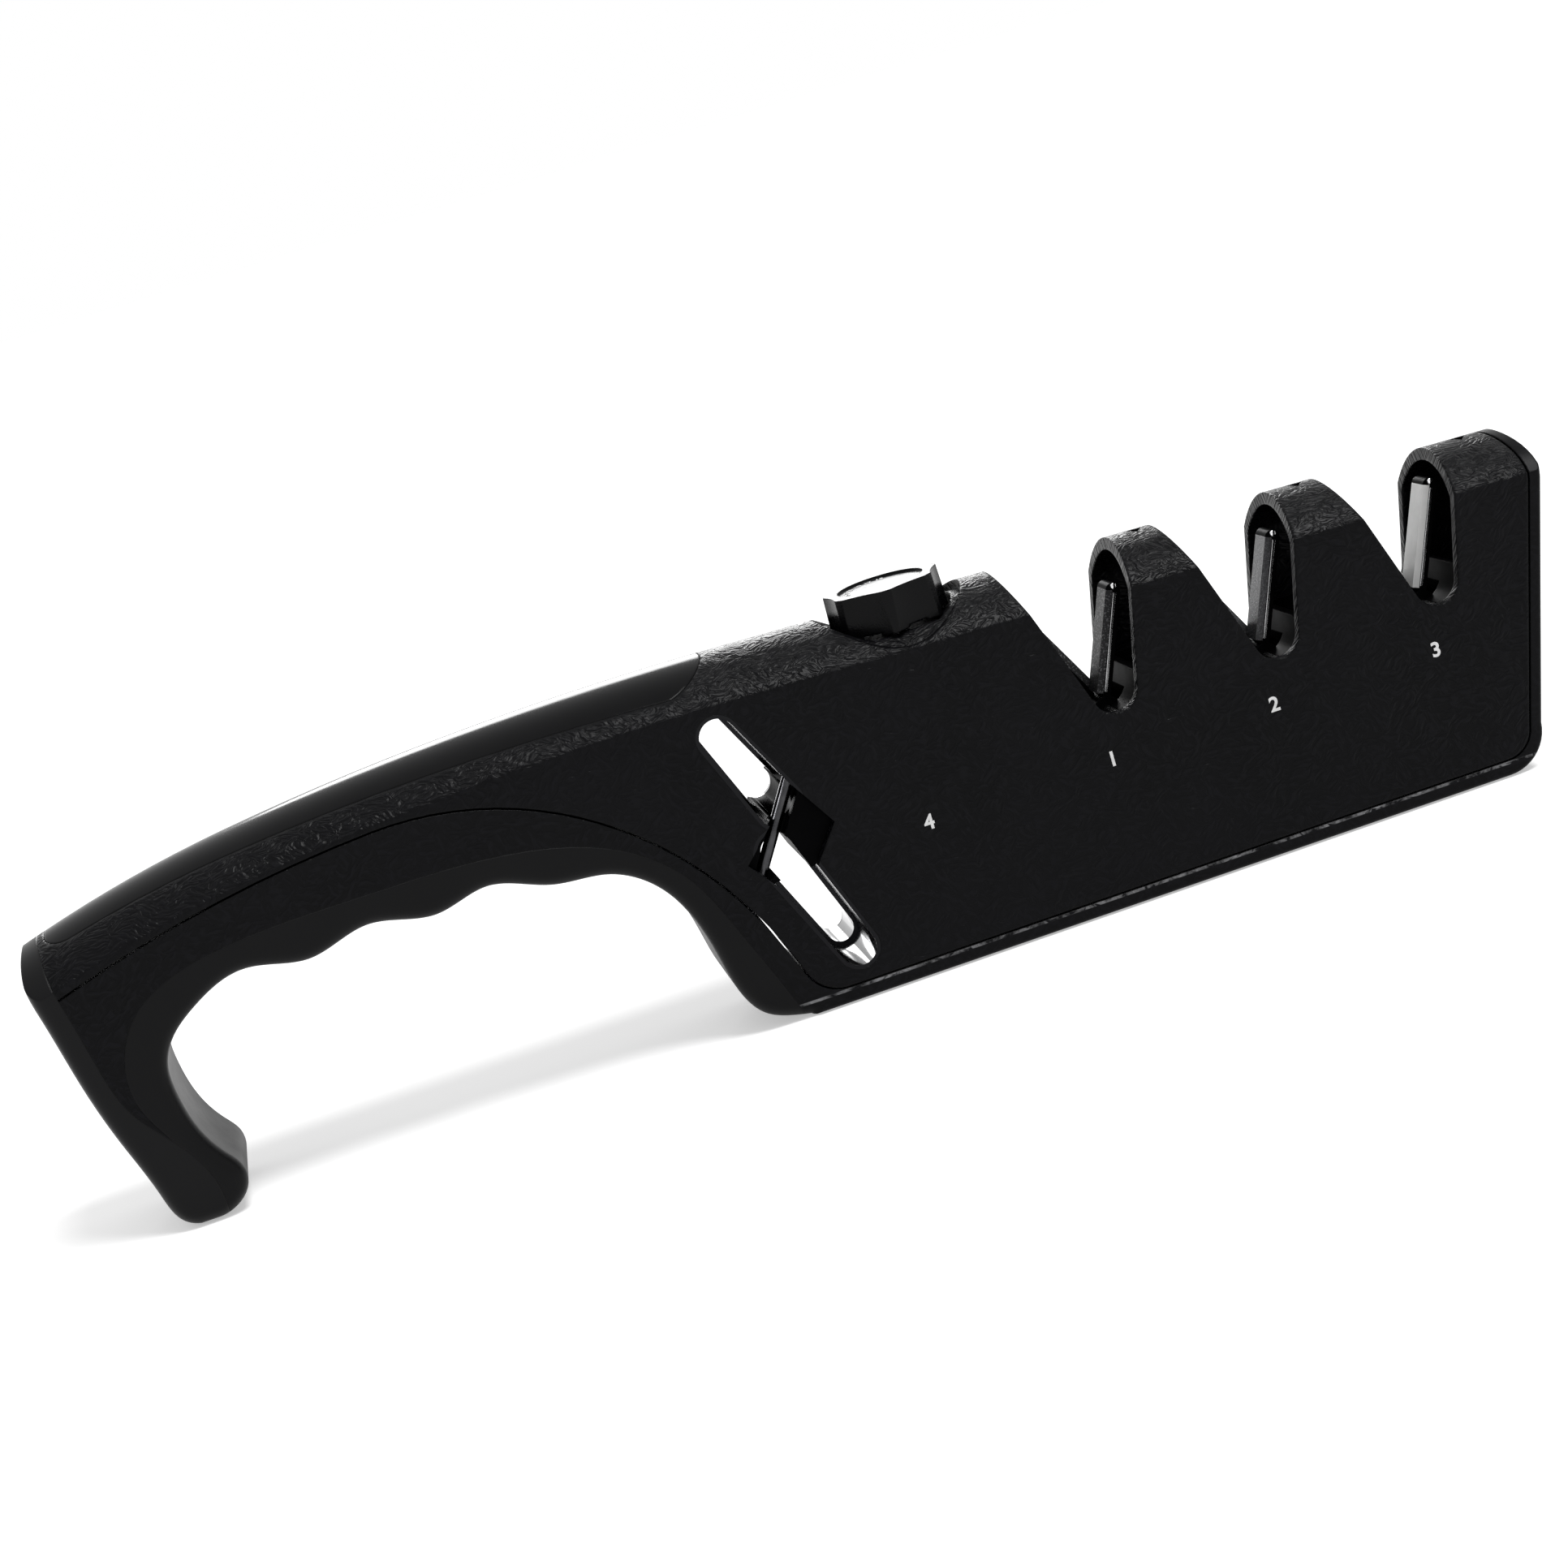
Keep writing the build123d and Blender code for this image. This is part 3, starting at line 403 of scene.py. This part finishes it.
plastics = {
    "grainedBlack": {"color": (0.0020, 0.0020, 0.0025), "wornColor": (0.0036, 0.0036, 0.0043),
                     "patches": 45.0, "wear": 0.8, "roughness": (0.26, 0.36), "specular": 0.07,
                     "grain": "leather", "bump": 0.75, "depth": 0.00018, "dust": 0.12,
                     "ridgeColor": (0.0042, 0.0042, 0.0052), "edge": 0.0008},
    "frameBlack": {"color": (0.0020, 0.0020, 0.0024), "wornColor": (0.0034, 0.0034, 0.0040),
                   "patches": 60.0, "wear": 0.7, "roughness": (0.28, 0.38), "specular": 0.07,
                   "grain": "leather", "bump": 0.6, "depth": 0.00014, "dust": 0.12,
                   "ridgeColor": (0.0042, 0.0042, 0.0052), "grainEnds": -0.022, "edge": 0.0005,
                   # painted highlight along the rail's top edge, under the seam
                   "paintedEdgeHighlight": {"line": {"Axis": (0.0, 0.0, 1.0), "Level": 0.0030, "Width": 0.0003},
                                 "patches": 240.0, "color": (0.30, 0.30, 0.31)}},
    "satinBlack": {"color": (0.0020, 0.0020, 0.0024), "wornColor": (0.0036, 0.0036, 0.0040),
                   "patches": 60.0, "wear": 0.7, "roughness": (0.28, 0.38), "specular": 0.13,
                   "grain": "fine", "bump": 0.06, "depth": 0.00005, "cells": 5200.0,
                   "edge": 0.0006},
    "softTouchBlack": {"color": (0.0020, 0.0020, 0.0023), "wornColor": (0.0034, 0.0034, 0.0038),
                       "patches": 70.0, "wear": 0.8, "roughness": (0.38, 0.48), "specular": 0.11,
                       "grain": "fine", "bump": 0.10, "depth": 0.00005, "cells": 6000.0,
                       "edge": 0.0006},
    "polishedBlack": {"color": (0.003, 0.003, 0.0034), "wornColor": (0.0045, 0.0045, 0.005),
                      "patches": 90.0, "wear": 0.5, "roughness": (0.12, 0.20), "specular": 0.08,
                      "grain": "none", "edge": 0.0005},
    "innerBlack": {"color": (0.0018, 0.0018, 0.0020), "wornColor": (0.0030, 0.0030, 0.0034),
                   "patches": 120.0, "wear": 1.0, "roughness": (0.34, 0.44), "specular": 0.01,
                   "grain": "fine", "bump": 0.08, "depth": 0.00005, "cells": 4200.0,
                   "edge": 0.0003},
    "knobBlack": {"color": (0.0018, 0.0018, 0.0021), "wornColor": (0.0030, 0.0030, 0.0034),
                  "patches": 120.0, "wear": 0.8, "roughness": (0.24, 0.34), "specular": 0.09,
                  "grain": "fine", "bump": 0.5, "depth": 0.00008, "cells": 2600.0,
                  "edge": 0.0004},
    # painted shade: a dark, dull finish for the triangles that stand for the shadowed lips of the
    # crest dimples
    "markBlack": {"color": (0.0016, 0.0016, 0.0018), "wornColor": (0.0024, 0.0024, 0.0026),
                  "patches": 300.0, "wear": 1.0, "roughness": (0.8, 0.95), "specular": 0.0,
                  "grain": "fine", "bump": 0.1, "depth": 0.00003, "cells": 6000.0,
                  "edge": 0.0001},
    "padRubber": {"color": (0.006, 0.006, 0.0065), "wornColor": (0.012, 0.012, 0.012),
                  "patches": 200.0, "wear": 1.0, "roughness": (0.75, 0.9), "specular": 0.12,
                  "grain": "fine", "bump": 0.25, "depth": 0.0001, "cells": 3200.0,
                  "edge": 0.0002},
    "bearingWhite": {"color": (0.72, 0.71, 0.68), "wornColor": (0.6, 0.59, 0.56),
                     "patches": 150.0, "wear": 0.8, "roughness": (0.3, 0.4), "specular": 0.5,
                     "grain": "none", "edge": 0.0002},
    "ceramicWhite": {"color": (0.86, 0.86, 0.85), "wornColor": (0.76, 0.76, 0.75),
                     "patches": 300.0, "wear": 0.8, "roughness": (0.3, 0.45), "specular": 0.45,
                     "grain": "fine", "bump": 0.12, "depth": 0.00004, "cells": 7000.0,
                     "edge": 0.0002},
    "printWhite": {"color": (0.80, 0.80, 0.80), "wornColor": (0.62, 0.62, 0.62),
                   "patches": 900.0, "wear": 1.0, "roughness": (0.45, 0.6), "specular": 0.4,
                   "grain": "fine", "bump": 0.1, "depth": 0.00003, "cells": 9000.0,
                   "edge": 0.00005},
}


def makeMetal(name, spec):
    finish, tree, surface = newFinish(name)
    lines = useGroup(tree, brushing, {"Stretch": spec["stretch"]})["Lines"]
    worn = useGroup(tree, handling, {"Patches": spec["patches"], "Amount": 1.0})["Mask"]
    color = mixColors(tree, worn, spec["color"], spec["wornColor"])
    # painted shadow: thin dark lines at the liner's steps and front rim
    for line in spec.get("shadowLines", []):
        shade = useGroup(tree, layerLine, line)["Mask"]
        color = mixColors(tree, shade, color, spec["shadow"])
    # painted reflection of a dark surround: darker towards the bottom of the slot
    if "darkReflectionHeights" in spec:
        height = placeAlong(tree, (0.0, 0.0, 1.0))
        shade = ramp(tree, height, *spec["darkReflectionHeights"], spec["darkReflectionShare"], 0.0)
        color = mixColors(tree, shade, color, spec["shadow"])
    normal = bumpFrom(tree, lines, spec["bump"], lineDepth, spec["edge"])
    fill(tree, surface, {"Base Color": color, "Metallic": 1.0, "Normal": normal,
                         "Roughness": ramp(tree, lines, 0.0, 1.0, *spec["roughness"])})
    return finish


metals = {
    "brightPlate": {"color": (0.86, 0.86, 0.87), "wornColor": (0.78, 0.78, 0.79),
                    "patches": 160.0, "roughness": (0.08, 0.16), "stretch": (900.0, 60.0, 900.0),
                    "bump": 0.05, "edge": 0.0001, "shadow": (0.012, 0.012, 0.013),
                    # painted dark reflection towards the slot's bottom, and painted shadow lines at
                    # the liner's steps and rim
                    "darkReflectionHeights": (0.0067, 0.0125), "darkReflectionShare": 0.85,
                    "shadowLines": [{"Axis": (0.0, 1.0, 0.0), "Level": 0.0030, "Width": 0.00028},
                                    {"Axis": (0.0, 1.0, 0.0), "Level": 0.0148, "Width": 0.00035},
                                    {"Axis": (0.0, 1.0, 0.0), "Level": -0.0151, "Width": 0.00030}]},
    "groundSteel": {"color": (0.50, 0.50, 0.51), "wornColor": (0.38, 0.38, 0.38),
                    "patches": 220.0, "roughness": (0.18, 0.32),
                    "stretch": (1500.0, 60.0, 1500.0), "bump": 0.12, "edge": 0.0001},
    "rodSteel": {"color": (0.060, 0.060, 0.063), "wornColor": (0.030, 0.030, 0.032),
                 "patches": 260.0, "roughness": (0.16, 0.26),
                 "stretch": (600.0, 1500.0, 600.0), "bump": 0.10, "edge": 0.0001},
    "clipSteel": {"color": (0.86, 0.86, 0.87), "wornColor": (0.70, 0.70, 0.71),
                  "patches": 260.0, "roughness": (0.14, 0.24),
                  "stretch": (1200.0, 1200.0, 80.0), "bump": 0.10, "edge": 0.00005},
    "pressedSteel": {"color": (0.50, 0.50, 0.51), "wornColor": (0.40, 0.40, 0.40),
                     "patches": 120.0, "roughness": (0.3, 0.5),
                     "stretch": (60.0, 1500.0, 1500.0), "bump": 0.15, "edge": 0.0002},
}


def makeGritBar(name, spec):
    finish, tree, surface = newFinish(name)
    points = useGroup(tree, grit, {"Grains": spec["grains"]})
    color = mixColors(tree, points["Sparkle"], spec["color"], spec["sparkle"])
    normal = bumpFrom(tree, points["Height"], spec["bump"], gritDepth, spec["edge"])
    fill(tree, surface, {"Base Color": color, "Metallic": spec["metallic"], "Normal": normal,
                         "Roughness": ramp(tree, points["Sparkle"], 0.0, 1.0, *spec["roughness"])})
    return finish


gritBars = {
    "coarseGrit": {"color": (0.010, 0.010, 0.011), "sparkle": (0.10, 0.10, 0.105),
                   "grains": 4200.0, "metallic": 0.3, "roughness": (0.50, 0.30), "bump": 0.3,
                   "edge": 0.0001},
    "fineGrit": {"color": (0.045, 0.045, 0.048), "sparkle": (0.22, 0.22, 0.23),
                 "grains": 7800.0, "metallic": 0.5, "roughness": (0.34, 0.20), "bump": 0.2,
                 "edge": 0.0001},
}

finishes = {}
for make, specs in ((makePlastic, plastics), (makeMetal, metals), (makeGritBar, gritBars)):
    for name, spec in specs.items():
        finishes[name] = make(name, spec)
print("finishes made:", len(finishes))

finishOf = {
    "upper_cover": "grainedBlack", "lower_frame": "frameBlack", "soft_grip": "softTouchBlack",
    "end_cap": "satinBlack", "handle_top_strip": "polishedBlack", "base_pads": "padRubber",
    "scissor_liner_upper": "brightPlate", "scissor_liner_lower": "brightPlate",
    "scissor_insert": "innerBlack", "scissor_rod": "rodSteel", "housing_screws": "groundSteel",
    "bar_carrier": "innerBlack", "pivot_pins": "groundSteel", "knob_bushing": "bearingWhite",
    "detent_ball": "groundSteel", "detent_spring": "groundSteel", "angle_knob": "knobBlack",
    "knob_shaft": "groundSteel", "shaft_clip": "pressedSteel", "cam_disc": "bearingWhite",
    "cam_screw": "groundSteel", "front_slider": "pressedSteel", "back_slider": "pressedSteel",
}
barFinish = {"1": "coarseGrit", "2": "fineGrit", "3": "ceramicWhite"}
for name, node in nodes.items():
    if "_bar_" in name:
        label = barFinish[name[-1]]
    elif "_arm_" in name:
        label = "innerBlack"
    else:
        label = finishOf[name]
    node.data.materials.clear()
    node.data.materials.append(finishes[label])
print("finishes put on the frame")

# helpers for the pieces that only the scene has
softSteps = 2


def soften(piece, width):
    # takes the sharpness off every edge of the active piece
    bevel = piece.modifiers.new("soften", "BEVEL")
    bevel.width = width
    bevel.segments = softSteps
    bpy.ops.object.modifier_apply(modifier="soften")


def addBlock(place, size, turn, edge):
    bpy.ops.object.select_all(action="DESELECT")
    bpy.ops.mesh.primitive_cube_add(size=1, location=place, rotation=turn, scale=size)
    block = bpy.context.object
    bpy.ops.object.transform_apply(location=True, rotation=True, scale=True)
    soften(block, edge)
    return block


def settle(piece, place, finish, body):
    # puts a finished mesh in its place, with the place kept in the mesh
    piece.data.transform(place @ piece.matrix_world)
    piece.matrix_world = Matrix.Identity(4)
    piece.data.materials.clear()
    piece.data.materials.append(finishes[finish])
    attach(piece, body)


def addPrint(name, text, spec):
    bpy.ops.object.select_all(action="DESELECT")
    bpy.ops.object.text_add(location=(0, 0, 0))
    label = bpy.context.object
    label.data.body = text
    label.data.size = spec["size"]
    label.data.offset = spec["boldness"]
    label.data.align_x = "CENTER"
    label.data.align_y = "CENTER"
    label.data.extrude = spec["thickness"] / 2
    label.data.resolution_u = spec["curveSteps"]
    bpy.ops.object.convert(target="MESH")
    label = bpy.context.object
    label.name = name
    return label


# station numbers printed on the front
numbers = {
    "size": 0.0040,
    "thickness": 0.00006,
    "boldness": 0.00010,
    "curveSteps": 6,
    "depth": -0.015,           # the front face
    "places": {"1": (0.0543, 0.0289), "2": (0.0874, 0.0289),
               "3": (0.1209, 0.0289), "4": (0.0172, 0.0287)},
}
upright = Matrix.Rotation(math.radians(90), 4, "X")
for text, (x, z) in numbers["places"].items():
    label = addPrint("station_number_" + text, text, numbers)
    place = Matrix.Translation((x, numbers["depth"], z)) @ upright
    settle(label, place, "printWhite", "housing")

# degrees printed round the top of the knob
dial = {
    "centre": (0.02365, 0.0, 0.07213),
    "radius": 0.0067,
    "size": 0.0017,
    "thickness": 0.00006,
    "boldness": 0.00004,
    "curveSteps": 6,
    "angles": ("25", "23", "21", "19", "17", "15"),
    "firstTurn": 180.0,        # degrees from +X to the first number
    "step": 20.0,
}
for index, text in enumerate(dial["angles"]):
    turn = dial["firstTurn"] - dial["step"] * index
    label = addPrint("dial_number_" + text, text, dial)
    place = (Matrix.Translation(dial["centre"])
             @ Matrix.Rotation(math.radians(turn - 90), 4, "Z")
             @ Matrix.Translation((0, dial["radius"], 0)))
    settle(label, place, "printWhite", "knob")


def addTriangle(name, spec, place, finish):
    bpy.ops.object.select_all(action="DESELECT")
    bpy.ops.mesh.primitive_cylinder_add(vertices=3, radius=spec["radius"], depth=spec["thickness"],
                                        location=(0, 0, 0),
                                        rotation=(0, 0, math.radians(spec["facing"])))
    piece = bpy.context.object
    piece.name = name
    bpy.ops.object.transform_apply(location=False, rotation=True, scale=False)
    piece.scale = spec["stretch"]
    bpy.ops.object.transform_apply(location=False, rotation=False, scale=True)
    soften(piece, spec["edge"])
    slope = Matrix.Rotation(math.radians(spec["slope"]), 4, "Y")
    settle(piece, Matrix.Translation(place) @ slope, finish, "housing")


# the white pointer beside the knob, which is also a painted highlight where the strip's tip catches
# the light, and dark dull triangles on the crests of the arches, painted shade for the shadowed lips
# of the dimples there
pointerGlint = {
    "place": (0.0068, 0.0, 0.06964),
    "radius": 0.0010,
    "thickness": 0.00022,
    "stretch": (1.0, 1.5, 1.0),
    "facing": -90.0,
    "edge": 0.00005,
    "slope": 2.39,             # degrees by which the crest falls towards +X
}
# painted shade: dark triangles where the lips of the crest dimples lie in shadow
crestDimpleShades = {
    "places": ((0.074, -0.0004, 0.06671), (0.107, -0.0004, 0.06533), (0.141, -0.0004, 0.06391)),
    "radius": 0.0015,
    "thickness": 0.0005,
    "stretch": (1.1, 1.0, 1.0),
    "facing": 180.0,
    "edge": 0.00004,
    "slope": 2.39,
}
addTriangle("angle_pointer_glint", pointerGlint, pointerGlint["place"], "printWhite")
for index, place in enumerate(crestDimpleShades["places"], 1):
    addTriangle("crest_dimple_shade_" + str(index), crestDimpleShades, place, "markBlack")
print("numbers and pointer printed")

# the black insert, with a groove in front that lets the whole rod show
rodGroove = {
    "middle": (-0.01025, -0.0114, 0.0366),
    "size": (0.0036, 0.0034, 0.0205),
    "lean": 32.6,
    "corner": 0.0004,
    "mergeGap": 0.000002,
}


def addGroovedInsert(spec):
    lean = (0, math.radians(spec["lean"]), 0)
    cutter = addBlock(spec["middle"], spec["size"], lean, spec["corner"])
    original = nodes["scissor_insert"]
    piece = bpy.data.objects.new("grooved_insert", original.data.copy())
    scene.collection.objects.link(piece)
    bpy.ops.object.select_all(action="DESELECT")
    piece.select_set(True)
    bpy.context.view_layer.objects.active = piece
    bpy.ops.object.mode_set(mode="EDIT")
    bpy.ops.mesh.select_all(action="SELECT")
    bpy.ops.mesh.remove_doubles(threshold=spec["mergeGap"])
    bpy.ops.object.mode_set(mode="OBJECT")
    groove = piece.modifiers.new("groove", "BOOLEAN")
    groove.operation = "DIFFERENCE"
    groove.solver = "EXACT"
    groove.object = cutter
    bpy.ops.object.modifier_apply(modifier="groove")
    bpy.data.objects.remove(cutter)
    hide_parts("scissor_insert")
    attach(piece, "housing")


addGroovedInsert(rodGroove)
print("insert grooved")

# bright retaining clips on the bars: a thin strip with a round head
clip = {
    "pivots": (0.0587, 0.0917, 0.1247),
    "pivotHeight": 0.0355,
    "lean": 25.0,              # degrees of each bar at rest
    "notchLean": 4.0,          # degrees of the whole notch, towards the handle
    "strip": {"left": -0.00104, "right": -0.00044, "low": 0.0036, "high": 0.0228,
              "proud": 0.00014, "edge": 0.00006},
    "head": {"place": (-0.0011, 0.0240), "radius": 0.00066, "flatten": 0.6,
             "segments": 24, "rings": 12},
    "faces": {"right": -0.0032, "left": 0.0088},   # depth of the bars' outer sides
}


def addClip(side, index, spec):
    # drawn upright over the pivot, mirrored for the left bars, then leaned as its bar is
    way = 1 if side == "right" else -1
    face = spec["faces"][side]
    strip = spec["strip"]
    middle = (way * (strip["left"] + strip["right"]) / 2, face - way * strip["proud"] / 2,
              (strip["low"] + strip["high"]) / 2)
    size = (strip["right"] - strip["left"], strip["proud"], strip["high"] - strip["low"])
    body = addBlock(middle, size, (0, 0, 0), strip["edge"])
    head = spec["head"]
    bpy.ops.object.select_all(action="DESELECT")
    bpy.ops.mesh.primitive_uv_sphere_add(segments=head["segments"], ring_count=head["rings"],
                                         radius=head["radius"],
                                         location=(way * head["place"][0], face, head["place"][1]),
                                         scale=(1, head["flatten"], 1))
    knob = bpy.context.object
    bpy.ops.object.transform_apply(location=True, rotation=True, scale=True)
    bpy.ops.object.shade_smooth()
    body.select_set(True)
    knob.select_set(True)
    bpy.context.view_layer.objects.active = body
    bpy.ops.object.join()
    body.name = side + "_clip_" + str(index)
    turn = Matrix.Rotation(math.radians(way * spec["lean"] - spec["notchLean"]), 4, "Y")
    place = Matrix.Translation((spec["pivots"][index - 1], 0, spec["pivotHeight"])) @ turn
    settle(body, place, "clipSteel", side + "_arm_body_" + str(index))


for side in ("right", "left"):
    for index in (1, 2, 3):
        addClip(side, index, clip)
print("clips made")
